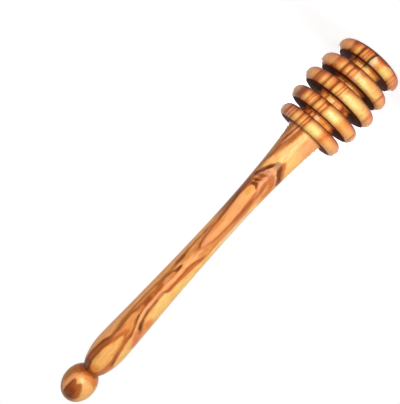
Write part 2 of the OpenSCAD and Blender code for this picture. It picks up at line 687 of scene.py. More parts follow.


# The ball: a dark patch at its end, a painted highlight on top, and painted shade round its end, on its
# lower left and round the neck.
BALL_FIGURE = (
    # Darker wood on the upper left, and painted shade round the neck.
    Field(Tone.BROWN, 0.7, (
        (10.2, -6, -4.2, 0), (11.4, -6, -3.2, 0.85), (12.2, -6, -2.1, 1), (13, -6, -1.5, 1),
        (13.8, -6, 6, 1), (15.4, -6, 6, 1), (16.4, -6, 6, 0.8), (17.4, -5, 5, 0.35), (18.6, -4, 4, 0))),
    Field(Tone.CLAY, 0.7, (
        (10.6, 5, 7, 0), (12, 3.5, 7, 0.7), (13, 2.2, 7, 0.7), (13.6, -1, 7, 0.5), (14.2, -1, 7, 0))),
    Field(Tone.RUST, 0.8, (
        (11, -5.4, -4, 0), (12.2, -4.8, -2.7, 0.7), (13, -4.4, -2.1, 0.8), (13.8, -3.6, -2, 0))),
    Field(Tone.CLAY, 1.6, (
        (5, -6.5, -3.2, 0), (7.5, -6.5, -3.1, 0.4), (9.5, -6.5, -2.9, 0.5), (11.2, -6.3, -2.3, 0.6),
        (12.2, -6, -1.2, 0.6), (13, -5, 0, 0))),
    Field(Tone.OLIVE, 1, (
        (4.4, -6.5, -4.4, 0), (6, -6.5, -4.3, 0.6), (8, -6.5, -4.2, 0.8), (10, -6.3, -3.8, 0.8),
        (11.2, -6.3, -3.4, 0.7), (12.6, -6, -3, 0))),
    # Painted shade on the lower left of the ball.
    Field(Tone.BROWN, 1.2, (
        (1, -7, -1.5, 0), (2.4, -7, -2.2, 0.8), (4, -7, -3.4, 0.8), (5.4, -7, -4.6, 0.5),
        (7, -7, -5, 0))),
    Field(Tone.HONEY, 0.8, (
        (3.6, 2.6, 5.6, 0), (5, 3.1, 5.9, 0.8), (8, 2.65, 5.9, 1), (10.2, 1.6, 5.4, 1),
        (11.2, -2.2, 4.3, 0.9), (12.2, -1.2, 2.2, 0.5), (13.1, -0.6, 1.2, 0))),
    Field(Tone.ORANGE, 1.4, (
        (11, 2, 4.6, 0), (12, 1.2, 4.2, 0.4), (13, -1.5, 3.4, 0.6), (13.7, -1.5, 3, 0))),
    # Painted highlight on the top of the ball.
    Field(Tone.CREAM, 1.1, (
        (10.4, -0.2, 0.6, 0), (11, -0.8, 1.1, 0.8), (11.5, -0.7, 1.1, 0.9), (12, -0.1, 0.6, 0))),
    # Painted shade round the ball's end.
    Field(Tone.BROWN, 1.2, ((-1, -7, 7, 0.75), (2.2, -7, 7, 0.7), (3.8, -7, 7, 0))),
    Field(Tone.RUST, 0.5, (
        (2.4, -1.6, 1.8, 0), (3.3, -2.2, 2.3, 0.9), (5, -2.5, 2.8, 1), (6.4, -2.6, 2.8, 1),
        (7.8, -2.5, 2.3, 1), (8.9, -2.4, 1.85, 0.95), (9.6, -2.2, 1.5, 0.85), (10.3, -1.9, 1.2, 0.4),
        (10.8, -1, 1, 0))),
    Field(Tone.CLAY, 1, (
        (6, -1.8, 1.4, 0), (7.4, -2.1, 1.8, 0.25), (8.8, -2, 1.6, 0.4), (9.8, -1.8, 1.4, 0.2),
        (10.4, -1.5, 1, 0))),
    Field(Tone.HONEY, 0.6, (
        (9.3, -0.8, -0.2, 0), (9.9, -1.2, 0.1, 0.5), (10.4, -2, 0.4, 0.9), (11, -2, 1, 0))),
    Streak(Tone.DARK, 0.4, (
        (3, -1.6, 0), (3.9, -2.1, 0.7), (5.5, -2.45, 0.6), (7.5, -2.4, 0.5), (9.2, -2.2, 0.6),
        (9.9, -1.8, 0.4), (10.4, -1.4, 0))),
    Streak(Tone.OLIVE, 0.45, (
        (3.6, 2.3, 0), (4.4, 2.6, 0.8), (5.4, 2.9, 0.8), (6.6, 2.75, 0.6), (7.8, 2.4, 0.5), (9, 1.9, 0.6),
        (10, 1.3, 0.4), (10.6, 0.8, 0))),
    Streak(Tone.DARK, 0.9, ((2.2, -0.2, 0), (3.2, 0, 0.9), (4.2, 0.8, 0.8), (5.2, 1.3, 0))),
    Streak(Tone.DARK, 0.8, ((5.2, 0.7, 0), (6.4, 0.5, 0.4), (7.8, 0.1, 0))),
    Streak(Tone.CLAY, 0.7, (
        (4.2, 1.9, 0), (5.4, 2.1, 0.5), (7, 2, 0.65), (8.4, 1.6, 0.4), (9.2, 1.2, 0))),
)

# The swell: a golden flame between dark lines.
SWELL_FIGURE = (
    Field(Tone.CLAY, 0.8, (
        (14.2, 2, 4.6, 0), (16, 2.4, 4.7, 0.7), (18, 2.6, 4.4, 0.75), (20, 2.9, 4.6, 0.8),
        (22, 2.9, 4.7, 0.85), (24, 2.8, 4.2, 0.9), (26, 2.7, 3.9, 0.9), (28, 2.6, 3.6, 0.9),
        (30, 2.2, 3.3, 0.9), (32, 1.7, 2.9, 0.9), (33.6, 1, 2.8, 0.9), (35, 0.2, 2.6, 0.85),
        (36.4, 0.2, 2.3, 0.4), (38, 1.2, 2, 0))),
    Field(Tone.OCHRE, 0.7, (
        (33.5, -1.8, 1.2, 0), (36, -2.1, 1.9, 0.6), (38.5, -2.1, 1.4, 0.55), (41, -2.2, 0.2, 0.55),
        (43.5, -2, -0.6, 0.35), (46, -1.9, -1, 0))),
    Field(Tone.RUST, 0.6, (
        (12.9, -3.6, -1.2, 0), (14, -4.2, -0.8, 0.7), (16, -3.8, -1, 0.9), (18, -4.1, -1.6, 1),
        (20, -4.3, -1.95, 1), (23, -4.35, -2, 1), (26, -4.2, -1.7, 1), (28, -3.8, -1.3, 1),
        (30, -3.25, -1.2, 0.9), (32, -3.05, -1.9, 0.7), (34, -3.1, -2, 0.75), (36, -3.3, -2.1, 0.7),
        (38.5, -3.3, -2.4, 0.6), (41, -3.2, -2.6, 0))),
    Field(Tone.CLAY, 0.8, (
        (18, -3.6, -2.4, 0), (20, -3.9, -2.2, 0.5), (25, -3.6, -1.9, 0.45), (28, -3, -1.5, 0.55),
        (30, -2.4, -1.2, 0.6), (32, -2.4, -1.3, 0))),
    Field(Tone.BLUSH, 0.6, (
        (30.4, -2, -1.5, 0), (32, -2.1, -1.4, 0.6), (34, -2.2, -1.2, 0.7), (36, -2.2, -1.2, 0.4),
        (38, -2.1, -1.2, 0))),
    Field(Tone.CLAY, 0.6, (
        (27, -1.8, -1, 0), (29, -1.6, -0.7, 0.9), (31, -1.5, -0.2, 1), (33, -1.3, 0, 1),
        (34.6, -1, 1, 0.9), (36, -0.6, 1, 0.75), (37.2, -0.1, 0.8, 0))),
    Field(Tone.GOLD, 0.6, (
        (15.8, -0.6, 1.8, 0), (17.4, -1, 2.2, 0.6), (19, -1.4, 2.6, 0.95), (21, -1.85, 2.85, 1),
        (24, -1.85, 2.85, 1), (27, -1.4, 2.6, 1), (29.5, -0.7, 2.3, 1), (31.6, -0.2, 1.5, 1),
        (33.2, 0.05, 0.8, 0.45), (34.6, 0.25, 0.5, 0))),
    Field(Tone.HONEY, 1.2, (
        (18.5, -0.6, 1.8, 0), (21, -1.1, 2.3, 0.8), (25, -1.1, 2.3, 0.9), (28.5, -0.6, 1.8, 0.9),
        (31.5, 0.1, 0.9, 0.5), (33.2, 0.3, 0.6, 0))),
    Field(Tone.OCHRE, 0.9, (
        (15.6, -0.4, 1.6, 0), (17.2, -0.7, 1.9, 0.8), (18.6, -0.9, 2.2, 0.35), (19.8, -0.8, 2, 0))),
    Streak(Tone.DARK, 0.5, (
        (20, -4, 0), (22.5, -3.9, 0.25), (24.5, -3.8, 0.3), (26.5, -3.6, 0.4), (28.2, -3.3, 0.5),
        (29.6, -2.95, 0.4), (31, -2.7, 0.2), (34, -2.7, 0))),
    Streak(Tone.RUST, 0.5, (
        (31, -2.8, 0), (33, -2.8, 0.6), (36, -2.75, 0.6), (39, -2.9, 0.8), (41, -2.95, 0.9),
        (44, -2.45, 0.95), (46.5, -2.4, 0.9), (49, -2.35, 0.8), (52, -2.3, 0.5), (54, -2.3, 0))),
    Streak(Tone.DARK, 0.4, (
        (13.6, -1.3, 0), (14.6, -1.2, 0.7), (15.8, -1.1, 0.8), (17, -1.5, 0.7), (19, -2, 0.5),
        (22, -2.2, 0.4), (25, -2.05, 0.3), (27.5, -1.7, 0.15), (29, -1.4, 0))),
    Streak(Tone.DARK, 0.45, (
        (13.4, -3, 0), (14.4, -3, 0.8), (15.6, -3.3, 0.85), (17, -3.6, 0.5), (20, -4, 0.4),
        (22, -4.1, 0))),
    Streak(Tone.UMBER, 0.35, ((13.8, -2.3, 0), (15, -2.1, 0.7), (16.5, -2.3, 0.5), (18, -2.7, 0))),
    Streak(Tone.RUST, 0.45, (
        (21, 4.8, 0), (22.3, 4.5, 0.8), (23.6, 4.15, 1), (25, 3.8, 0.8), (27, 3.45, 0.6),
        (29.5, 3.1, 0.5), (32.5, 2.6, 0.5), (35, 2.3, 0.8), (37, 1.9, 0.9), (39, 1.2, 0.9),
        (40.6, 0.5, 1), (41.8, 0, 1), (43, -0.3, 0.95), (45, -0.6, 0.85), (48, -0.7, 0.8),
        (51, -0.75, 0.7), (54, -0.8, 0.6), (56, -0.9, 0.5), (59, -0.9, 0.4), (62, -0.7, 0.4),
        (63.5, -0.7, 0))),
    Streak(Tone.DARK, 0.4, ((40, 0.6, 0), (41.2, 0.2, 0.7), (42.2, -0.1, 0.7), (43.4, -0.35, 0))),
    Streak(Tone.BROWN, 0.35, ((38.4, 0.9, 0), (39.4, 0.4, 0.55), (40.4, -0.1, 0.75), (41.6, -0.5, 0))),
    Field(Tone.BROWN, 0.6, (
        (35.8, 3, 3.6, 0), (37.2, 2.7, 3.6, 0.35), (38.4, 2.5, 3.6, 0.55), (39.6, 2.3, 3.2, 0))),
    Streak(Tone.BROWN, 0.35, (
        (24.5, 3.1, 0), (26.5, 2.85, 0.5), (28.5, 2.5, 0.4), (31, 1.95, 0.4), (33, 1.35, 0.5),
        (34.4, 0.6, 0.4), (35.2, 0.2, 0))),
    Streak(Tone.BLUSH, 0.8, ((16, 4.4, 0), (19, 4.5, 0.3), (21, 4.7, 0.4), (23, 4.9, 0))),
)

# The slim part of the handle: long lines with a pale strip beside them, and a painted highlight along its
# right edge.
GRIP_FIGURE = (
    # Pale wood on the right, made stronger toward the edge as a painted highlight.
    Field(Tone.PALE, 0.8, (
        (42.5, 3, 7, 0), (44.5, 2.1, 7, 0.6), (47, 1.9, 7, 0.9), (50, 1.5, 7, 1), (53, 1.1, 7, 1),
        (54.8, 1.2, 7, 0.7), (57, 2.1, 7, 0.9), (61, 2.6, 7, 1), (66, 2.9, 7, 1), (71, 3.2, 7, 0.8),
        (78, 3.2, 7, 0.9), (88, 3.1, 7, 0.9), (98, 3.4, 7, 0.6), (103, 3.8, 7, 0))),
    # Painted highlight along the right edge.
    Field(Tone.CREAM, 0.9, (
        (74, 3.4, 7, 0), (78, 3.1, 7, 0.5), (82, 3, 7, 0.75), (86, 2.9, 7, 0.95), (91, 2.9, 7, 0.95),
        (95, 3.1, 7, 0.75), (101, 3.5, 7, 0))),
    Field(Tone.PALE, 0.9, (
        (21, 4.9, 7, 0), (24, 4.5, 7, 0.8), (28, 4, 7, 0.95), (31, 3.6, 5.6, 0.7), (33, 3.3, 4.6, 0))),
    Field(Tone.HONEY, 0.7, (
        (30, 3.6, 5, 0), (32, 3.1, 4.6, 0.9), (35, 2.8, 3.8, 0.7), (37.5, 2.3, 3, 0))),
    Field(Tone.PEACH, 0.6, (
        (34, 3, 4.2, 0), (36.5, 2.3, 3.6, 0.4), (38.5, 1.7, 2.8, 0.7), (41, 0.8, 1.9, 0.95),
        (44, -0.1, 1.2, 1), (48, -0.5, 0.7, 1), (52, -0.55, 0.5, 1), (56, -0.5, 0.8, 0.85),
        (62, -0.5, 0.9, 0.7), (68, -0.6, 1, 0.5), (72, -0.4, 1.2, 0.7), (76, 0, 1.2, 0))),
    Field(Tone.BLUSH, 1, (
        (30.5, 5, 6.8, 0), (33, 4.5, 6.4, 0.7), (35, 3.6, 5.4, 0.8), (37, 2.8, 5, 0.8),
        (38.4, 3.1, 5, 0.6), (40.5, 3.7, 5.2, 0.35), (42.5, 4.2, 5, 0))),
    Field(Tone.ORANGE, 1.1, (
        (40.2, 3.4, 5.2, 0), (42, 3.2, 5, 0.8), (43.4, 3.4, 4.7, 0.7), (45.2, 3.6, 4.4, 0))),
    Field(Tone.CLAY, 0.6, (
        (42, -2.6, -1.6, 0), (44, -2.5, -0.9, 0.5), (47, -2.6, -0.7, 0.9), (49, -2.6, -0.7, 1),
        (52, -2.35, -0.6, 1), (54, -2.5, -0.6, 1), (56, -2.9, -0.7, 1), (57.6, -3.1, -1.6, 0.6),
        (59, -3.1, -2, 0))),
    Field(Tone.RUST, 0.7, (
        (46, -2.2, -1.1, 0), (47.8, -2.3, -0.9, 0.75), (49.6, -2.3, -0.9, 0.75), (51.2, -2, -1.1, 0))),
    Field(Tone.BROWN, 0.6, (
        (51.5, -1.8, -0.8, 0), (53.5, -1.9, -0.7, 0.7), (55.5, -2.2, -0.9, 0.7), (57, -2.6, -1.8, 0))),
    Field(Tone.PINK, 0.6, (
        (56.2, -2.2, -0.9, 0), (58, -2.1, -0.9, 0.8), (60.5, -1.9, -1, 0.85), (62.5, -1.6, -1.1, 0.8),
        (64, -1.3, -1.1, 0))),
    Streak(Tone.CLAY, 0.5, ((59.2, -0.8, 0), (60.6, -0.85, 0.6), (62.2, -0.95, 0.6), (63.6, -0.9, 0))),
    Field(Tone.RUST, 0.45, (
        (58.6, -2.7, -2.2, 0), (60.5, -2.5, -1.9, 0.9), (62, -2.2, -1.6, 0.9), (63, -1.95, -0.7, 0.85),
        (64, -1.7, -0.55, 1), (65.2, -1.45, -0.65, 1), (66, -1.2, -0.8, 0.8), (66.8, -1.1, -0.9, 0))),
    Streak(Tone.DARK, 0.5, ((62.6, -1.4, 0), (63.8, -1.1, 0.5), (65.2, -1.05, 0.8), (66.2, -1, 0))),
    Streak(Tone.RUST, 0.45, (
        (53, -3, 0), (55, -2.95, 0.6), (57, -2.75, 0.9), (59, -2.65, 1), (61, -2.45, 0.9),
        (62.5, -2.5, 0.7), (64.5, -2.75, 0.6), (66, -2.8, 0))),
    Streak(Tone.OLIVE, 0.4, (
        (33, -3.4, 0), (36, -3.4, 0.6), (40, -3.55, 0.9), (44, -3.55, 0.9), (48, -3.45, 0.95),
        (52, -3.35, 0.9), (56, -3.1, 0.85), (60, -2.95, 0.7), (64, -2.9, 0.8), (70, -3, 0.95),
        (75, -3, 0.95), (80, -2.95, 0.95), (84, -3, 0.6), (88, -3.1, 0))),
    Streak(Tone.RUST, 0.45, (
        (37, 4.4, 0), (38.4, 3.6, 0.7), (39.4, 3, 1), (40.6, 2.5, 1), (41.8, 2.1, 1), (43.4, 1.55, 0.95),
        (45.5, 1.15, 0.95), (48, 0.9, 0.85), (50.5, 0.75, 0.9), (52.5, 0.65, 0.6), (54.4, 0.65, 0.6),
        (55.8, 1, 0.7), (57, 1.4, 0.5), (58.5, 1.6, 0))),
    Streak(Tone.DARK, 0.7, (
        (38.2, 3.6, 0), (39.2, 3.05, 0.8), (40.1, 2.7, 0.95), (41.2, 2.25, 0.5), (42.4, 1.9, 0))),
    Streak(Tone.DARK, 0.3, ((41.5, 2.1, 0), (43, 1.65, 0.3), (46, 1.15, 0.2), (48, 0.95, 0))),
    Field(Tone.CLAY, 0.45, (
        (54.8, 0.9, 1.4, 0), (56, 0.95, 1.75, 0.8), (58, 0.85, 2, 0.95), (61, 0.8, 2.2, 0.95),
        (64, 1, 2.4, 1), (66.5, 1, 2.6, 1), (68.5, 1.25, 2.8, 1), (70.5, 1.6, 3, 1), (72.2, 2, 3.2, 0.85),
        (74, 2.5, 3.3, 0.6), (75.6, 2.8, 3.2, 0))),
    Streak(Tone.BROWN, 0.4, (
        (54.4, 0.8, 0), (56, 1.3, 0.8), (58.5, 1.5, 0.6), (62, 1.3, 0.5), (66.5, 1.2, 0.7),
        (68.5, 1.5, 0.8), (70.2, 1.95, 0.95), (71.6, 2.35, 0.9), (73, 2.6, 0.5), (74.4, 2.9, 0))),
    Field(Tone.CLAY, 0.8, (
        (65.5, -2.4, -1.6, 0), (68, -2.4, -1.1, 0.6), (71, -2.4, -0.8, 0.6), (74, -2.4, -1, 0.5),
        (77, -2.5, -1.9, 0))),
    Streak(Tone.RUST, 0.5, (
        (63.4, -2.9, 0), (65, -2.85, 0.8), (67, -2.8, 1), (69, -2.8, 0.95), (70.4, -2.9, 0.5),
        (72, -2.95, 0))),
    Streak(Tone.DARK, 0.35, (
        (64.4, -2.85, 0), (65.8, -2.8, 0.5), (67.2, -2.75, 0.7), (68.6, -2.75, 0.6), (69.8, -2.85, 0))),
    Streak(Tone.RUST, 0.35, ((78.6, -2.95, 0), (80.2, -2.9, 0.7), (82, -2.9, 0))),
    Streak(Tone.PEACH, 0.4, ((77, -3.75, 0), (79, -3.65, 0.7), (81.5, -3.65, 0.7), (84, -3.7, 0))),
)

# Below the flare: a long tongue of paler wood.
TONGUE_FIGURE = (
    Field(Tone.PINK, 0.7, (
        (74.2, -0.4, 0.2, 0), (75.6, -0.7, 0.5, 0.7), (77, -1.1, 0.7, 0.85), (79, -1.5, 0.9, 0.75),
        (81.5, -1.7, 1.1, 0.4), (84, -1.8, 1.2, 0))),
    Field(Tone.CLAY, 0.7, (
        (77, 1.5, 2.6, 0), (79, 1.2, 2.6, 0.6), (83, 1.4, 2.6, 0.7), (87, 1.6, 2.7, 0.7),
        (90, 1.5, 2.75, 0.95), (95, 1.35, 2.8, 1), (99, 1.2, 2.8, 0.9), (101.5, 1.2, 2.8, 0.8),
        (104, 1, 2.8, 0.5), (106, 0.8, 3.2, 0))),
    Field(Tone.UMBER, 0.8, (
        (84, -6, -3.6, 0), (88, -6, -3.1, 0.6), (92, -6, -2.9, 0.95), (97, -6, -3, 1),
        (101, -6, -3.2, 0.9), (104.5, -6, -3.3, 0.85), (108, -6, -3.9, 0.6), (114, -6, -4.6, 0.5),
        (120, -7, -4.9, 0.6), (127.2, -8, -4.6, 0.8), (130, -8, -4.6, 0.8))),
    Field(Tone.CLAY, 0.6, (
        (73, -2.9, -2.3, 0), (76.5, -2.9, -1.7, 0.5), (80, -2.9, -2, 0.6), (84, -3, -2.1, 0.9),
        (88, -3.1, -2.4, 0.95), (92, -3.2, -2.6, 0.9), (96, -3.3, -2.9, 0.7), (99, -3.4, -2.5, 0.9),
        (102, -3.4, -2.4, 0.8), (104, -3.3, -2.6, 0))),
    Field(Tone.AMBER, 0.55, (
        (76, -1, 0.6, 0), (79, -1.5, 0.9, 0.6), (83, -1.8, 1.3, 0.9), (90, -2.2, 1.45, 0.9),
        (94, -2.4, 1.25, 1), (97, -2.6, 1.1, 1), (99.5, -2.45, 0.8, 1), (101, -2.3, 0.6, 0.8),
        (102.2, -2, 0.3, 0))),
    Field(Tone.OCHRE, 0.7, (
        (78, -1.5, -0.9, 0), (80.5, -1.7, -0.8, 0.5), (84, -1.8, -0.7, 0.8), (87.5, -2, -1, 0.7),
        (91, -2.3, -1.6, 0.6), (94.5, -2.6, -1.9, 0.5), (97, -2.7, -2.2, 0))),
    Field(Tone.HONEY, 1, (
        (84.5, -0.8, 0.4, 0), (87.5, -0.9, 0.4, 0.5), (91, -1.3, 0.2, 0.4), (95, -1.5, 0.2, 0.4),
        (98.5, -2, 0.3, 0.5), (101.5, -1.9, 0.3, 0))),
    Field(Tone.CLAY, 0.9, (
        (71, 1.2, 2.6, 0), (73.5, 0.8, 2.4, 0.55), (77, 0.9, 2.4, 0.4), (80, 1.2, 2.4, 0))),
    Streak(Tone.BROWN, 0.8, (
        (71.4, -0.5, 0), (73, -0.65, 0.6), (74.4, -0.7, 0.9), (75.3, -0.95, 0.6), (76.2, -1.2, 0))),
    Streak(Tone.CLAY, 0.5, ((73.6, -0.5, 0), (74.4, -0.1, 0.7), (75.2, 0.4, 0.7), (76.5, 0.8, 0))),
    Streak(Tone.RUST, 0.4, (
        (74.4, -0.8, 0), (75.6, -1.3, 1), (77, -1.6, 0.9), (79, -1.85, 0.85), (81.5, -2, 0.85),
        (84, -2.15, 0.9), (86.5, -2.3, 0.95), (89, -2.5, 1), (92, -2.65, 1), (95, -3, 1),
        (97.5, -3.2, 0.95), (100, -3.3, 0.8), (102.5, -3.4, 0.5), (104, -3.3, 0))),
    Streak(Tone.DARK, 0.4, (
        (85, -2.2, 0), (87, -2.35, 0.5), (89.5, -2.55, 0.4), (92, -2.7, 0.3), (94.2, -2.95, 0.5),
        (96, -3.1, 0.7), (98.2, -3.2, 0.7), (100, -3.4, 0.4), (102, -3.6, 0.7), (104, -3.6, 0))),
    Streak(Tone.BROWN, 0.4, (
        (75.2, 0.3, 0), (77, 0.75, 0.5), (79, 1.1, 0.6), (81, 1.45, 0.75), (83.5, 1.65, 0.65),
        (87, 1.8, 0.65), (90, 1.8, 0.8), (93, 1.6, 0.7), (96, 1.4, 0.6), (99.5, 1.2, 0.5),
        (102, 0.8, 0.3), (103.6, 0.4, 0))),
    Streak(Tone.BROWN, 0.4, (
        (89, 2.1, 0), (92, 2, 0.7), (94, 1.95, 0.8), (97.5, 2.1, 0.85), (99, 1.9, 0.6), (101, 1.9, 0.5),
        (102.4, 2, 0))),
    Streak(Tone.CLAY, 0.35, (
        (73.5, 3, 0), (78, 2.8, 0.8), (83, 2.85, 0.7), (87, 2.95, 0.8), (91, 3, 0.7), (96, 3, 0.5),
        (101, 3.2, 0.4), (104, 3.4, 0))),
)
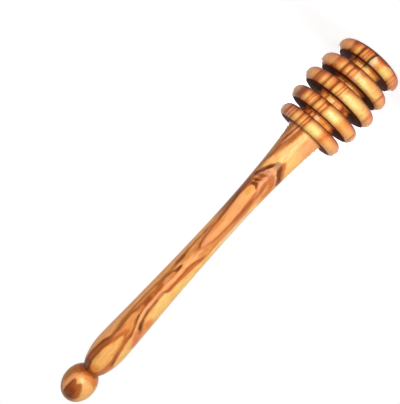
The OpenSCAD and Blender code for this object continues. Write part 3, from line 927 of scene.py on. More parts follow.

# The flare: a dark chevron, above it the lines that run into the first ring, and a painted highlight up
# its middle.
CHEVRON_FIGURE = (
    Field(Tone.PALE, 1, (
        (111, 3.9, 8, 0), (113.2, 2.7, 8, 0.65), (116, -2.8, 8, 0.8), (121, -1.9, 8, 1),
        (125, -1.2, 8, 0.8), (128, -1.2, 8, 0.6))),
    Field(Tone.STRAW, 0.9, (
        (112, -2.6, -1.6, 0), (113.4, -2.2, -1.1, 0.5), (114.6, -2, -0.5, 0.8), (116, -1.8, -0.3, 0.6),
        (118, -1.6, -0.4, 0))),
    # Painted highlight up the middle of the flare.
    Field(Tone.PAINTED_FLARE_HIGHLIGHT, 1.2, (
        (113, -1.6, -0.4, 0), (115, -1.4, 1, 0.8), (117.5, -1.2, 1.4, 0.8), (121, -1, 1.6, 0.9),
        (124, -0.6, 1.4, 0.85), (128, -0.4, 1.4, 0.7))),
    Field(Tone.PEACH, 1.8, (
        (117, 2.6, 7, 0), (120, 2, 7, 0.6), (122.5, 1.4, 7, 0.9), (125, 1.6, 7, 0.9),
        (127.2, 1.8, 8, 0.8), (130, 2, 8, 0.5))),
    Field(Tone.AMBER, 1.2, (
        (120, 2.8, 4.4, 0), (122, 2.4, 4.6, 0.4), (125, 2.4, 5, 0.45), (127.2, 2.6, 5.4, 0.3),
        (129, 2.8, 5.6, 0))),
    Field(Tone.HONEY, 0.8, (
        (108.5, -3.5, -3, 0), (110.5, -3.2, -2.2, 0.7), (112.5, -3.1, -1.2, 0.9), (114.5, -3, -0.6, 0.7),
        (117, -2.8, -0.8, 0))),
    Field(Tone.CLAY, 1.4, (
        (98.5, -4.4, 4.4, 0), (101, -4.4, 4.4, 0.4), (103.5, -4.4, 4.4, 0.7), (106.5, -3.8, 4.4, 0.7),
        (108.5, -3, 4, 0.5), (110.5, -1.8, 3, 0))),
    Field(Tone.CLAY, 0.7, (
        (108.4, 4.3, 5.8, 0), (110.4, 3.5, 4.9, 0.7), (112.2, 2.3, 3.8, 0.85), (113.6, 1, 3.05, 0.9),
        (114.5, 1, 2.6, 0.95), (115.3, 1.2, 2.3, 0.5), (116, 1.4, 2, 0))),
    Field(Tone.RUST, 0.7, (
        (105.3, -4, -3.1, 0), (106.2, -4, -2.7, 0.8), (107.5, -3.65, -2.2, 0.9), (109, -3.3, -1.5, 0.9),
        (110.3, -2.6, -0.8, 1), (111.5, -2, -0.3, 1), (112.5, -1.5, 0.2, 0.9), (113.4, -0.8, 0.5, 0.6),
        (114.4, -0.4, 0.8, 0))),
    Field(Tone.DARK, 0.5, (
        (105.3, -3.9, -3.3, 0), (106.2, -3.8, -3, 1), (107.5, -3.45, -2.5, 1), (109, -2.85, -1.8, 1),
        (110.3, -2.3, -1.1, 1), (111.5, -1.7, -0.6, 0.8), (112.5, -1.15, -0.35, 0.5),
        (113.4, -0.65, -0.05, 0))),
    Field(Tone.RUST, 0.7, (
        (107, 3.9, 5.4, 0), (108.4, 3.6, 5.2, 0.9), (109.6, 2.7, 4.8, 1), (110.6, 1.95, 3.9, 1),
        (111.6, 1.2, 3.3, 1), (112.5, 0.6, 2.7, 1), (113.3, 0.7, 2.2, 0.9), (113.9, 0.8, 1.9, 0.6),
        (114.5, 1.2, 1.7, 0))),
    Streak(Tone.DARK, 0.7, (
        (109.4, 4, 0), (110.4, 2.95, 0.9), (111.3, 2.4, 1), (112, 2, 0.7), (113, 1.6, 0.5),
        (113.8, 1.4, 0))),
    Streak(Tone.OLIVE, 0.5, ((113.2, 0, 0), (114, 0.25, 0.4), (114.7, 0.55, 0))),
    Field(Tone.PEACH, 0.5, (
        (105.4, 3.2, 4.4, 0), (106.4, 3.6, 4.4, 0.4), (107.6, 2.9, 4, 0.7), (109, -1.75, 3.25, 0.75),
        (110.2, -1.15, 2.2, 0.85), (111.1, -0.7, 1.3, 0.8), (111.8, -0.3, 0.8, 0.4), (112.4, 0, 0.4, 0))),
    Field(Tone.ASH, 1.2, (
        (107, -1.6, 3.4, 0), (108.2, -1.6, 3.4, 0.6), (109.4, -1.4, 2.8, 0.55), (110.8, -0.8, 1.8, 0))),
    Field(Tone.UMBER, 0.9, (
        (105.4, 2.2, 3.6, 0), (106.8, 1.2, 3.8, 0.25), (108, 0.8, 3.3, 0.3), (109.3, 0.9, 2.4, 0.25),
        (110.2, 1, 1.8, 0))),
    Field(Tone.ASH, 0.8, (
        (110.4, 0.1, 1.2, 0), (111.2, -0.2, 1.4, 0.35), (112, -0.4, 1.3, 0.8), (113.1, -0.4, 1.2, 0.8),
        (113.9, -0.1, 1.1, 0.4), (114.6, 0.3, 0.8, 0))),
    Streak(Tone.UMBER, 0.4, (
        (106.8, -1.9, 0), (107.6, -1.7, 0.3), (108.6, -1, 0.4), (109.4, -0.7, 0.35), (110, -0.4, 0))),
    Field(Tone.PINK, 0.8, (
        (105.4, -3.1, -2.6, 0), (106.6, -2.8, -2.2, 0.5), (107.8, -2.3, -1.1, 0.7),
        (108.8, -1.8, -0.6, 0.6), (109.6, -1.4, -0.6, 0))),
    Field(Tone.CLAY, 0.7, (
        (104.4, 2.4, 3.6, 0), (105.8, 2.2, 3.8, 0.8), (107.2, 1.3, 3.65, 0.9), (108.2, 0.9, 3.1, 0.8),
        (109, 0.7, 2.5, 0.75), (109.6, 1.2, 1.9, 0))),
    Field(Tone.BLUSH, 0.6, (
        (106.8, -1, 0.4, 0), (107.7, -1, 1.2, 0.7), (108.4, -0.3, 1.6, 0.7), (109, 0.4, 1.4, 0))),
    Field(Tone.RUST, 0.6, (
        (105.7, -2.5, -1.5, 0), (106.3, -2.6, -0.95, 0.6), (107, -2.5, -0.5, 0.85),
        (107.7, -1.7, -0.1, 0.6), (108.4, -0.8, 0.4, 0))),
    Field(Tone.ROSE, 0.8, (
        (105.2, -0.4, 0.6, 0), (106.4, -0.5, 0.8, 0.5), (107.3, -0.2, 0.9, 0.45), (108.2, 0.2, 1.1, 0))),
    Field(Tone.RUST, 0.5, (
        (103.8, -2.8, -2, 0), (104.4, -2.9, -1.3, 1), (105, -2.7, -0.8, 1), (105.6, -2.1, -0.4, 0.7),
        (106.3, -1.2, -0.1, 0.35), (106.9, -0.6, 0.2, 0))),
    Streak(Tone.DARK, 0.6, ((103.9, -2.3, 0), (104.5, -2.1, 0.9), (105.1, -1.7, 0.8), (105.7, -1.3, 0))),
    Field(Tone.RUST, 0.4, (
        (101.4, -2.9, -2.4, 0), (102.4, -2.65, 0.35, 0.8), (103, -2.4, 0.1, 1), (103.6, -1.95, -0.25, 1),
        (104, -1.3, -0.6, 0.7), (104.3, -1.1, -0.8, 0))),
    Streak(Tone.DARK, 0.7, (
        (101.8, -2.5, 0), (102.6, -2.35, 0.8), (103.2, -2, 1), (103.7, -1.4, 0.5), (104.1, -1.1, 0))),
    Field(Tone.GOLD, 0.4, (
        (98.5, -2.2, 0.7, 0), (100.2, -2.25, 0.6, 1), (101.4, -2.15, 0.4, 1), (102.2, -1.9, 0.05, 1),
        (102.7, -1.5, -0.45, 0.7), (103, -1.15, -0.8, 0.3), (103.35, -1, -0.9, 0))),
    Field(Tone.ROSE, 0.6, (
        (99.6, -0.1, 0.6, 0), (100.8, -0.2, 0.7, 0.5), (101.8, -0.2, 0.5, 0.4), (102.6, -0.4, 0.2, 0))),
    Field(Tone.CLAY, 0.5, (
        (98, 1.1, 1.5, 0), (100, 1, 1.5, 0.6), (102, 0.8, 1.4, 0.6), (103.4, 0.9, 1.4, 0))),
    Field(Tone.ROSE, 0.7, (
        (99, 1.6, 2, 0), (101, 1.4, 1.9, 0.25), (102.5, 0.6, 1.3, 0.4), (103.6, 0.15, 0.9, 0.6),
        (104.6, -0.25, 0.6, 0.7), (105.4, -0.4, 0.5, 0.5), (106, -0.4, 0.4, 0))),
    Field(Tone.RUST, 0.8, (
        (96, -4.2, -3.2, 0), (99, -4.2, -2.8, 0.5), (102, -4.2, -2.7, 0.7), (104.5, -4.2, -2.9, 0.6),
        (106.5, -4.2, -3.6, 0))),
    Streak(Tone.BROWN, 0.5, (
        (101.8, 2.1, 0), (102.8, 2, 0.4), (103.8, 1.85, 0.6), (104.8, 1.7, 0.6), (106, 1.35, 0.5),
        (107.2, 1.1, 0))),
    Streak(Tone.PEACH, 0.5, (
        (98, 3.1, 0), (100, 3.05, 0.5), (102, 2.9, 0.5), (103.5, 2.8, 0.5), (105, 2.5, 0.35),
        (106.6, 2.2, 0))),
    Streak(Tone.BROWN, 0.25, (
        (99, 2.5, 0), (101, 2.4, 0.6), (103, 2.25, 0.6), (105, 1.9, 0.5), (106.6, 1.6, 0))),
    Streak(Tone.OLIVE, 0.45, (
        (105, -4.2, 0), (110, -4.15, 0.8), (115, -4.45, 0.6), (118, -4.4, 0.8), (120, -4.3, 0.4),
        (122, -4.2, 0))),
    Streak(Tone.BROWN, 0.5, (
        (117, -4.4, 0), (119.5, -4.3, 0.6), (121.5, -4.1, 0.95), (124, -3.8, 1), (126, -3.6, 1),
        (129, -3.35, 1))),
    Streak(Tone.DARK, 0.25, (
        (119, -4.35, 0), (121.5, -4.1, 0.5), (124, -3.8, 0.7), (126, -3.5, 0.9), (129, -3.25, 0.9))),
    Streak(Tone.DARK, 0.35, (
        (110.5, -4.15, 0), (112.2, -4.05, 0.3), (114, -3.8, 0.3), (115.4, -3.55, 0.4), (118, -3.4, 0.5),
        (120, -3, 0.7), (122, -2.7, 0.5), (124, -2.5, 0.5), (126, -2.1, 0.6), (129, -1.85, 0.6))),
    Field(Tone.AMBER, 0.5, (
        (119.5, -2, -1.4, 0), (122, -2.3, -1.2, 0.2), (124, -2.2, -0.9, 0.25), (126, -1.7, -0.7, 0.45),
        (129, -1.4, -0.5, 0.45))),
    Streak(Tone.PEACH, 0.4, (
        (117.5, -3.9, 0), (120.5, -3.6, 0.2), (123.5, -3.05, 0.55), (126, -2.8, 0.8), (129, -2.55, 0.8))),
    Streak(Tone.BROWN, 0.5, ((119, -5.4, 0), (122, -5.4, 0.3), (125, -5.3, 0.5), (129, -5.2, 0.5))),
    Streak(Tone.RUST, 0.45, (
        (111.6, -4, 0), (113, -3.9, 0.5), (116.4, -3.75, 0.9), (118, -3.6, 1), (120, -3.2, 0.9),
        (122, -2.75, 0.85), (124.5, -2.3, 0.85), (127, -2, 0.9), (129, -1.85, 0.9))),
    Streak(Tone.CLAY, 0.7, (
        (114.5, -3.3, 0), (117, -2.95, 0.8), (119.5, -2.5, 0.9), (121.5, -2.1, 0.95), (124, -1.7, 0.85),
        (127, -1.3, 0.65), (129, -1.1, 0.65))),
    Streak(Tone.BROWN, 0.35, (
        (119.5, -2.3, 0), (121.5, -2.1, 0.4), (124, -1.7, 0.5), (127, -1.35, 0.6), (129, -1.2, 0.6))),
)

HANDLE_FIGURE = BALL_FIGURE + SWELL_FIGURE + GRIP_FIGURE + TONGUE_FIGURE + CHEVRON_FIGURE

# Growth lines of the rings and, in turn, of the grooves between them.
HEAD_GROWTH = (
    Growth(126, 129.3, {
        Tone.GOLD: (-6.7, -5.4, -4, -2.5, -1.5, 3.8, 6.5), Tone.HONEY: (7.8,), Tone.PALE: (-6, -3.5),
        Tone.STRAW: (-0.8, 2.6), Tone.PEACH: (-8.8, -7.8, 11), Tone.TAN: (-13, -10.4),
        Tone.OCHRE: (-4.6, -2.8), Tone.ORANGE: (5.2,), Tone.CLAY: (-9.2,),
        Tone.BROWN: (-9.8, -8.3, -7.2, -3.1, -2), Tone.RUST: (-5,), Tone.PINK: (13,)}),
    Growth(131.8, 132.8, {
        Tone.GOLD: (0.2, 4.6), Tone.CREAM: (-0.9, -0.3), Tone.PEACH: (-2.5, -1.5), Tone.OCHRE: (-3, 2),
        Tone.ORANGE: (-4.2,), Tone.CLAY: (-4.8, 5.6), Tone.BROWN: (-5.6, 7), Tone.RUST: (-7, -2),
        Tone.DARK: (-3.5,)}),
    Growth(133.7, 136.2, {
        Tone.GOLD: (-7.5, -6.5, -3.7, -2.5, -1.7, -1.2, -0.2, 6.2, 8), Tone.HONEY: (9.5, 11.3),
        Tone.PALE: (-8.1, -5.5, -3.1), Tone.STRAW: (0.6, 4.8), Tone.PEACH: (12.3, 14),
        Tone.TAN: (-14, -11.6), Tone.UMBER: (-11,), Tone.OCHRE: (-8.8, -4.9), Tone.ORANGE: (-6.1,),
        Tone.CLAY: (-7, 11.8), Tone.BROWN: (-9.4, -2.1, -0.7), Tone.RUST: (-10.2, -4.2)}),
    Growth(138.7, 139.9, {
        Tone.GOLD: (-4, -2.6), Tone.PALE: (-2.2,), Tone.STRAW: (-1.2,), Tone.CREAM: (-0.4,),
        Tone.PEACH: (0.6, 2.2), Tone.OCHRE: (-3.4, 0, 5.2), Tone.ORANGE: (2.8,), Tone.CLAY: (-5.2, 6.5),
        Tone.BROWN: (-7, 3.3, 4.4), Tone.RUST: (-3,)}),
    Growth(141, 143.5, {
        Tone.GOLD: (-10.5, -7.9, -5.8, -4.6, -2.8, -1.6, 0.9, 13), Tone.HONEY: (-11.4,),
        Tone.PALE: (-7.3, -5.2, -0.8, 0.2, 1.6, 10.4), Tone.STRAW: (-2.2, 3, 7), Tone.PEACH: (12.2, 15),
        Tone.TAN: (-15,), Tone.OCHRE: (-6.8, -4.1), Tone.ORANGE: (11.3,),
        Tone.CLAY: (-9.5, -8.6, -1.2, -0.3), Tone.BROWN: (-10.1, -3.2), Tone.RUST: (-6.3, -3.6)}),
    Growth(146, 146.9, {
        Tone.GOLD: (-4.2, -0.6, 3.4), Tone.PALE: (1.2,), Tone.STRAW: (0.2,), Tone.OCHRE: (-2.6, -1.5, 2),
        Tone.CLAY: (-5.2, 6), Tone.BROWN: (-7,), Tone.RUST: (-1.9,)}),
    Growth(147.8, 150.3, {
        Tone.GOLD: (-6.6, -5.5, -2.3, 12), Tone.HONEY: (-11, -9.1, -0.7, 1.4),
        Tone.PALE: (-6, -3.5, 0.8, 9.2), Tone.STRAW: (2.4, 6), Tone.CREAM: (-0.1,),
        Tone.PEACH: (-1.7, 10.4, 14), Tone.TAN: (-14,), Tone.OCHRE: (-7.3, -4.2, -3, -1.2),
        Tone.CLAY: (-8.2, 9.8), Tone.BROWN: (-4.7,), Tone.RUST: (-8.7, -5.1, -2.7)}),
    Growth(152.8, 154, {
        Tone.GOLD: (-2.2, 2.4), Tone.PALE: (-3.4, -1.4, -0.5, 1.8), Tone.STRAW: (0.6,),
        Tone.OCHRE: (-4.2, 5.5), Tone.BROWN: (-4.9, -3.9, -0.9), Tone.RUST: (-6,)}),
    Growth(155.3, 157.5, {
        Tone.GOLD: (-10.4, -8.4, -4.9, -3.2, -1.5, 2, 3.4, 7.6, 8.6), Tone.PALE: (-5.5,),
        Tone.STRAW: (4.4, 6.6), Tone.CREAM: (-0.2, 1.2), Tone.PEACH: (-2.3, 9.8), Tone.TAN: (-13,),
        Tone.OCHRE: (-6.2, -3.7, -1.1), Tone.CLAY: (-7, -2.7, -1.9, 9.3, 10.3),
        Tone.BROWN: (-7.9, -4.5, -0.6, 8.1), Tone.RUST: (-7.5,), Tone.DARK: (-4.1,), Tone.PINK: (12,)}),
)

# Patches on the rings, painted highlights on the first four, painted shade along two rim edges, and the
# black line in the last one.
HEAD_FIGURE = (
    Field(Tone.RUST, 0.5, (
        (136.8, -1.9, -0.9, 0), (137.5, -1.9, -0.2, 0.7), (138.3, -1, 0.2, 0.5), (138.9, -0.4, 0.4, 0))),
    Field(Tone.RUST, 0.8, (
        (150.9, -4.8, -1.2, 0), (151.8, -5.4, -1, 0.8), (152.7, -5.5, -0.6, 0.8), (153, -5.5, -0.6, 0))),
    # Painted highlights on the first four rings.
    Field(Tone.PAINTED_RING_HIGHLIGHT, 1.4, (
        (127.5, -0.6, 3.4, 0), (128.4, -0.8, 3.8, 0.4), (129.2, -0.6, 3.8, 0.4), (130.2, 0, 3.4, 0))),
    Field(Tone.PAINTED_RING_HIGHLIGHT, 1.5, (
        (134.2, 0.8, 3.8, 0), (134.9, 0.6, 4.4, 0.7), (135.7, 0.6, 4.4, 0.95), (136.6, 1.2, 3.8, 0))),
    Field(Tone.PAINTED_RING_HIGHLIGHT, 1.5, (
        (141.4, 0.8, 5.6, 0), (142.1, 0.4, 6.4, 0.7), (142.7, 0.6, 6.2, 0.6), (143.5, 1.2, 5, 0))),
    Field(Tone.PAINTED_RING_HIGHLIGHT, 1.4, (
        (148.3, 1, 4.4, 0), (149, 0.6, 5.2, 0.6), (149.7, 0.8, 5, 0.6), (150.5, 1.2, 4.4, 0))),
    Field(Tone.GOLD, 1.6, ((149, 5, 9, 0), (150, 3.4, 9, 0.35), (151, 2.6, 9, 0.35), (152, 2.6, 9, 0))),
    Field(Tone.PEACH, 1.4, (
        (148.2, -11, -8.6, 0), (149.2, -12, -8.4, 0.6), (151.2, -12, -8.4, 0.5), (152.4, -11, -8.6, 0))),
    Field(Tone.PEACH, 1.4, (
        (155.6, -11, -8, 0), (156.4, -12, -7.6, 0.6), (157.8, -12, -7.6, 0.4), (159, -11, -8, 0))),
    Field(Tone.PEACH, 1.4, (
        (155.6, 7.6, 11, 0), (156.4, 7.2, 11, 0.45), (158, 7.2, 11, 0.4), (159, 7.6, 11, 0))),
    # Painted shade along the fourth ring's edge toward the handle.
    Field(Tone.BROWN, 1.6, (
        (147.3, -13, 12, 0), (147.9, -13, 12, 0.5), (148.3, -13, 12, 0.3), (148.8, -13, 12, 0))),
    Field(Tone.OCHRE, 1, (
        (141, 0.4, 3, 0), (143.8, 0.6, 3.2, 0), (144.6, 0.4, 4, 0.4), (145.9, 0.2, 5, 0.5),
        (146.3, 0.2, 5, 0))),
    Field(Tone.CLAY, 1.2, (
        (150.6, 0.4, 1.4, 0), (151.4, -0.4, 2.6, 0.5), (152.7, -0.6, 9, 0.5), (153.1, -0.6, 9, 0))),
    Field(Tone.BLUSH, 1, (
        (156.8, 1.8, 2.8, 0), (157.6, 1, 3.2, 0.5), (158.2, 0.6, 4.6, 0.6), (159.9, -0.2, 6.5, 0.6))),
    # Painted shade along the last ring's far edge.
    Field(Tone.BROWN, 1, (
        (157.8, 1.2, 2.6, 0), (158.4, 0.2, 4, 0.55), (159.2, -9, 7.5, 0.7), (159.9, -9.5, 9.5, 0.7))),
    Streak(Tone.BLACK, 0.42, (
        (155, -0.5, 0), (155.5, -0.6, 0.8), (156.2, -0.8, 0.85), (157.2, -0.7, 0.9), (157.9, -0.45, 1),
        (158.4, -0.1, 1), (159, 0.1, 1), (160, 0.3, 1))),
)

# Noises that move the figure and the shine a little.
WAVER = Grain(2.2, 4.5, 3)
FRAY = Grain(0.5, 2.2, 2, 7)
JOLT = Grain(0.9, 2.4, 2, 3)
SHEEN = Grain(0.14, 5, 3, 1)

# The wood's own colour changes slowly toward peach, with faint lines of clay.
GROUND_VEILS = (
    Veil(Grain(2.6, 13, 2, 5), -0.9, 0.9, 1, Tone.PEACH),
    Veil(Grain(0.5, 22, 2, 9), 0, 1.4, 0.5, Tone.CLAY),
)

# Fine grain over the figure: broad strands, then clouds, fibres and pores.
STRAND = Grain(0.34, 8, 2, 21)
STRAND_RANGE = (-0.9, 0.9)
PALE_STRAND = (1.05, 1.1, 1.12, 1)
DEEP_STRAND = (0.93, 0.88, 0.84, 1)
GRAIN_VEILS = (
    Veil(Grain(0.8, 2.4, 3, 13), -0.1, 1.3, 0.3, Tone.OILED, "MULTIPLY"),
    Veil(Grain(0.16, 5, 3, 1), -0.2, 1.4, 0.3, Tone.BROWN),
    Veil(Grain(0.09, 1.1, 1, 17), 1.1, 2.2, 0.5, Tone.BROWN),
)

# Oil's golden shine on the wood, and the painted shade by the rings' faces, from none to full.
GOLDEN_SHINE = (1, 0.66, 0.3, 1)
PAINTED_SHADE_RAMP = [(0, WHITE), (0.156, (1, 0.87, 0.9, 1)), (0.316, (0.96, 0.77, 0.82, 1)),
                (0.5, (0.88, 0.65, 0.7, 1)), (0.684, (0.72, 0.48, 0.53, 1)),
                (0.844, (0.52, 0.33, 0.36, 1)), (0.957, (0.34, 0.19, 0.2, 1)),
                (1, (0.17, 0.07, 0.05, 1))]


@dataclass(frozen=True)
class OliveWood:
    """Oiled olive wood, with its figure placed along the dipper.

    The figure wavers, frays and jolts a little with the grain. Behind the dipper it is
    moved aside and along, so that the back isn't a copy of the front. Span is half the
    width that a course can reach. A pair of sizes says where a change begins and where it
    is full. Sizes are in mm, and those past the core are added to its radius.
    """

    name: str
    length: float
    figure: tuple[Streak | Field, ...]
    growth: tuple[Growth, ...] = ()
    faces: tuple[Face, ...] = ()
    span: float = 16.0
    waver: float = 0.16
    fray: float = 0.07
    jolt: float = 0.3
    back_from: Point = (0.5, -4.0)
    back_aside: float = 0.7
    back_along: float = 6.0
    growth_lean: float = 0.1
    growth_edge: float = 0.25
    roughness: float = 0.34
    roughness_swing: float = 0.05
    specular: float = 0.3
    # Painted shade by the rings' faces: past the core it begins and is full, and aside from the middle it
    # reaches in to the core.
    painted_shade_past_core: Point = (1.2, 3.4)
    painted_shade_aside: Point = (4.2, 6.4)
    matt_past_core: Point = (0.02, 0.3)
    matt_core: Point = (7.2, 6.8)
    matt_from: Point = (0.8, 1.0)
    matt_roughness: float = 0.5

    def dress(self) -> bpy.types.Material:
        """Builds the material.

        Returns:
            The wood.
        """
        wood = bpy.data.materials.new(self.name)
        bench = Bench(wood)
        spot = bench.out("ShaderNodeTexCoord", socket="Object")
        x, y, z = (Wire(bench, end) for end in bench.node("ShaderNodeSeparateXYZ", {}, {0: spot}).outputs)
        at = Place(bench, x.gain(-1 / MM, 0), y.gain(-1 / MM, 0), z.gain(-1 / MM, self.length))
        behind = at.depth.ease(*self.back_from)
        across = at.across + at.noise(WAVER) * self.waver + at.noise(FRAY) * self.fray
        along = at.along + at.noise(JOLT) * self.jolt + behind * self.back_along
        waved = Place(bench, across + behind * self.back_aside, at.depth, along)
        colour = self.veiled(at, Tone.GOLD.linear, GROUND_VEILS)
        for ring in self.growth:
            colour = self.grown(waved, colour, ring)
        for mark in self.figure:
            colour = self.marked(waved, colour, mark)
        roughness = at.noise(SHEEN).gain(self.roughness_swing, self.roughness)
        # Painted shade by the rings' faces, multiplied into the colour, and matt faces and grooves.
        if self.faces:
            painted_shade, matt = self.painted_shade(at)
            painted_shading = bench.out("ShaderNodeValToRGB", {"stops": PAINTED_SHADE_RAMP}, {0: painted_shade})
            colour = bench.mix(1.0, colour, painted_shading, "MULTIPLY")
            roughness = roughness + matt.ease(*self.matt_from, 0, self.matt_roughness)
        strand = at.noise(STRAND).ease(*STRAND_RANGE)
        colour = bench.mix(1.0, colour, bench.mix(strand, PALE_STRAND, DEEP_STRAND), "MULTIPLY")
        bench.close("ShaderNodeOutputMaterial", bench.node("ShaderNodeBsdfPrincipled", {}, {
            "Base Color": self.veiled(at, colour, GRAIN_VEILS), "Roughness": roughness,
            "Specular IOR Level": self.specular, "Specular Tint": GOLDEN_SHINE}))
        return wood

    def veiled(self, at: Place, colour: Wire | Colour, veils: tuple[Veil, ...]) -> Wire:
        """Lays veils over a colour, one after the other.

        Args:
            at: place in the wood.
            colour: what lies under them.
            veils: the veils.

        Returns:
            The colour with the veils.
        """
        for veil in veils:
            share = at.noise(veil.grain).ease(veil.start, veil.end, 0, veil.share)
            colour = at.bench.mix(share, colour, veil.tone.linear, veil.blend)
        return colour

    def painted_shade(self, at: Place) -> tuple[Wire, Wire]:
        """Finds where shade is painted by the flat faces of the rings.

        Args:
            at: place in the wood.

        Returns:
            How dark the painted shade is, which fades toward the core in the middle, and where
            the faces and grooves are left matt.
        """
        radius = (at.across * at.across + at.depth * at.depth).math("SQRT")
        painted_shade, matt = [], [radius.ease(*self.matt_core)]
        for face in self.faces:
            near = abs(at.along - face.z).ease(face.begin, face.full)
            painted_shading = radius.ease(*(face.inner_r + past for past in self.painted_shade_past_core))
            painted_shade.append(near * painted_shading.most(abs(at.across).ease(*self.painted_shade_aside)))
            matt.append(near * radius.ease(*(face.inner_r + past for past in self.matt_past_core)))
        return reduce(Wire.most, painted_shade), reduce(Wire.most, matt)

    def course(self, place: Wire, points: list[Point], low: float, high: float) -> Wire:
        """A value that follows a course along the dipper.

        Args:
            place: place along the dipper, from 0 to 1 over the course.
            points: places of 0 to 1 with the value there.
            low: value that the curve holds as 0.
            high: value that it holds as 1.

        Returns:
            The value as a share between low and high.
        """
        shares = [(u, (v - low) / (high - low)) for u, v in points]
        return place.bench.out("ShaderNodeFloatCurve", {"points": shares}, {0: 1.0, 1: place})

    def marked(self, waved: Place, colour: Wire, mark: Streak | Field) -> Wire:
        """Lays one mark of the figure over a colour.

        Args:
            waved: place in the wood, already wavering with the grain.
            colour: what lies under the mark.
            mark: the streak or field.

        Returns:
            The colour with the mark.
        """
        first, last = mark.course[0][0], mark.course[-1][0]
        reach = last - first
        place = waved.along.gain(1 / reach, -first / reach)
        *sides, strengths = [[((row[0] - first) / reach, row[i]) for row in mark.course]
                             for i in range(1, len(mark.course[0]))]
        strength = self.course(place, strengths, 0, 1)
        lines = [self.course(place, side, -self.span, self.span) for side in sides]
        share = 0.5 / self.span
        spot = waved.across.gain(share, 0.5)
        if isinstance(mark, Streak):
            cover = abs(spot - lines[0]).ease(2 * mark.half * share, 0)
        else:
            edge = mark.soft / 2 * share
            cover = (spot - lines[0]).math("MINIMUM", lines[1] - spot).ease(-edge, edge)
        return waved.bench.mix(cover * strength, colour, mark.tone.linear)

    def grown(self, waved: Place, colour: Wire, ring: Growth) -> Wire:
        """Lays the growth lines of one ring or groove over a colour, from its face onward.

        Args:
            waved: place in the wood, already wavering with the grain.
            colour: what lies under the lines.
            ring: the lines, which lean a little along the dipper.

        Returns:
            The colour with the lines.
        """
        share = 0.5 / self.span
        lean = waved.along.gain(self.growth_lean, -self.growth_lean * ring.middle)
        spot = (waved.across - lean).gain(share, 0.5)
        stops = sorted((width * share + 0.5, tone.linear)
                       for tone, widths in ring.lines.items() for width in widths)
        lines = waved.bench.out("ShaderNodeValToRGB", {"stops": stops}, {0: spot})
        begun = waved.along.ease(ring.begin - self.growth_edge, ring.begin + self.growth_edge)
        return waved.bench.mix(begun, colour, lines)


@dataclass(frozen=True)
class Lamp:
    """A soft lamp.

    It hangs at a depth, a width and a place along the dipper, in mm, and lights the axis at
    the place aim. Its width and height are in metres, and its power in watts.
    """

    name: str
    spot: tuple[float, float, float]
    aim: float
    size: Point
    power: float

    def hang(self, studio: "Studio") -> None:
        """Hangs the lamp.

        Args:
            studio: the studio, which knows where the dipper stands.
        """
        data = bpy.data.lights.new(self.name, "AREA")
        data.shape = "RECTANGLE"
        data.size, data.size_y = self.size
        data.energy = self.power
        lamp = bpy.data.objects.new(self.name, data)
        lamp.location = studio.place(*self.spot)
        sight = studio.place(0, 0, self.aim) - studio.place(*self.spot)
        lamp.rotation_euler = sight.to_track_quat("-Z", "Y").to_euler()
        bpy.context.scene.collection.objects.link(lamp)


LAMPS = (
    Lamp("key", (262, 62, 148), 95, (0.04, 0.02), 0.53),
    Lamp("low fill", (260, 10, 12), 20, (0.04, 0.04), 0.07),
    Lamp("left fill", (120, -260, 80), 80, (0.1, 0.14), 0.24),
    Lamp("right fill", (120, 260, 80), 80, (0.1, 0.14), 0.2),
    Lamp("back fill", (-260, 0, 146), 80, (0.2, 0.02), 0.3),
)


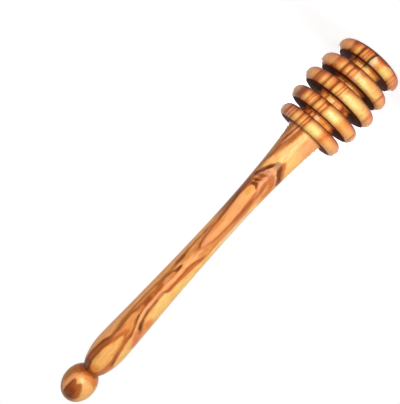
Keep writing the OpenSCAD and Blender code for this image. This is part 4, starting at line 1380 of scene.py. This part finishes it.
@dataclass(frozen=True)
class Studio:
    """Camera, floor and lamps. The camera sees the dipper from its front, a little askew.

    Pixel sizes are those of the photograph. The floor's sizes are in metres.
    """

    length: float
    frame_px: tuple[int, int] = (400, 404)
    focal_px: float = 560.0
    sensor_mm: float = 36.0
    pixel_mm: float = 0.348
    clip_start: float = 0.01
    aim_z: float = 85.807
    aim_px: float = 31.35
    tilt_deg: float = 6.4
    aside: float = -0.3
    head_way: Point = (0.67283, 0.73980)
    floor_size: float = 8.0
    floor_gap: float = 0.00002
    floor_tone: float = 0.8
    floor_roughness: float = 0.9
    shadow_reach: Point = (0.02, 0.1)
    shadow_glow: float = 0.78
    room_light: float = 0.08

    def place(self, depth: float, width: float, along: float) -> Vector:
        """A place in the frame, in metres, from one in mm on the dipper."""
        return Vector((-width, -depth, self.length - along)) * MM

    def camera(self) -> bpy.types.Object:
        """Sets the camera so that the dipper lies in the picture as photographed.

        Returns:
            The camera.
        """
        focal = math.hypot(self.focal_px, self.aim_px)
        away = focal * self.pixel_mm
        tilt = math.radians(self.tilt_deg)
        along_axis = Vector((0, 0, -1))
        toward = Vector((0, -1, 0))
        across = along_axis.cross(toward)
        head = Vector((*self.head_way, 0)).normalized()
        side = Vector((head.y, -head.x, 0))
        sight = (self.aim_px * side + Vector((0, 0, -self.focal_px))).normalized()
        axis_seen = math.cos(tilt) * head - math.sin(tilt) * sight
        front_seen = -(math.sin(tilt) * head + math.cos(tilt) * sight)
        across_seen = axis_seen.cross(front_seen)
        world = Matrix((along_axis, toward, across)).transposed()
        seen = Matrix((axis_seen, front_seen, across_seen))
        turn = world @ seen
        spot = self.place(away * math.cos(tilt), self.aside, self.aim_z + away * math.sin(tilt))
        data = bpy.data.cameras.new("camera")
        data.sensor_width = self.sensor_mm
        data.lens = self.focal_px / max(self.frame_px) * self.sensor_mm
        data.clip_start = self.clip_start
        eye = bpy.data.objects.new("camera", data)
        eye.matrix_world = Matrix.Translation(spot) @ turn.to_4x4()
        bpy.context.scene.collection.objects.link(eye)
        bpy.context.scene.camera = eye
        return eye

    def floor(self) -> bpy.types.Object:
        """Lays the pale floor, which keeps the dipper's shadow.

        Returns:
            The floor.
        """
        bpy.ops.object.select_all(action="DESELECT")
        bpy.ops.mesh.primitive_plane_add(size=self.floor_size, location=(0, 0, -self.floor_gap))
        floor = bpy.context.object
        floor.name = "floor"
        paper = bpy.data.materials.new("floor paper")
        bench = Bench(paper)
        spot = bench.out("ShaderNodeTexCoord", socket="Object")
        reach = bench.out("ShaderNodeVectorMath", {"operation": "LENGTH"}, {0: spot}, "Value")
        glow = reach.ease(*self.shadow_reach, self.shadow_glow, 1.0)
        bench.close("ShaderNodeOutputMaterial", bench.node("ShaderNodeBsdfPrincipled", {}, {
            "Base Color": (*[self.floor_tone] * 3, 1), "Roughness": self.floor_roughness,
            "Specular IOR Level": 0.0, "Emission Color": WHITE,
            "Emission Strength": bench.seen() * glow}))
        floor.data.materials.append(paper)
        return floor

    def surroundings(self) -> None:
        """Makes the room: white where it is seen, dimmer where it lights the wood."""
        world = bpy.data.worlds.new("room")
        bench = Bench(world)
        light = bench.seen().ease(0, 1, self.room_light, 1.0)
        bench.close("ShaderNodeOutputWorld", bench.node("ShaderNodeBackground", {}, {0: WHITE, 1: light}))
        bpy.context.scene.world = world

    def build(self) -> None:
        """Sets up the whole studio."""
        self.camera()
        self.floor()
        for lamp in LAMPS:
            lamp.hang(self)
        self.surroundings()
        bpy.context.scene.view_settings.view_transform = "Standard"


def main() -> None:
    """Sets up the studio and builds the dipper's pieces in order."""
    logging.basicConfig(level=logging.INFO, format="%(message)s")
    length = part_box("handle")[1].z / MM
    handle = Handle()
    head = Head(handle.shoulder_z)
    Studio(length).build()
    grip = handle.build(length, OliveWood("olive wood handle", length, HANDLE_FIGURE).dress())
    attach(grip, BODY)
    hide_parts("handle")
    log.info("%s: %d faces", grip.name, len(grip.data.polygons))
    wood = OliveWood("olive wood head", length, HEAD_FIGURE, HEAD_GROWTH, head.faces(), back_along=0.0)
    rings = head.build(length, wood.dress())
    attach(rings, BODY)
    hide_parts("dipper_head")
    log.info("%s: %d faces", rings.name, len(rings.data.polygons))


if __name__ == "__main__":
    main()
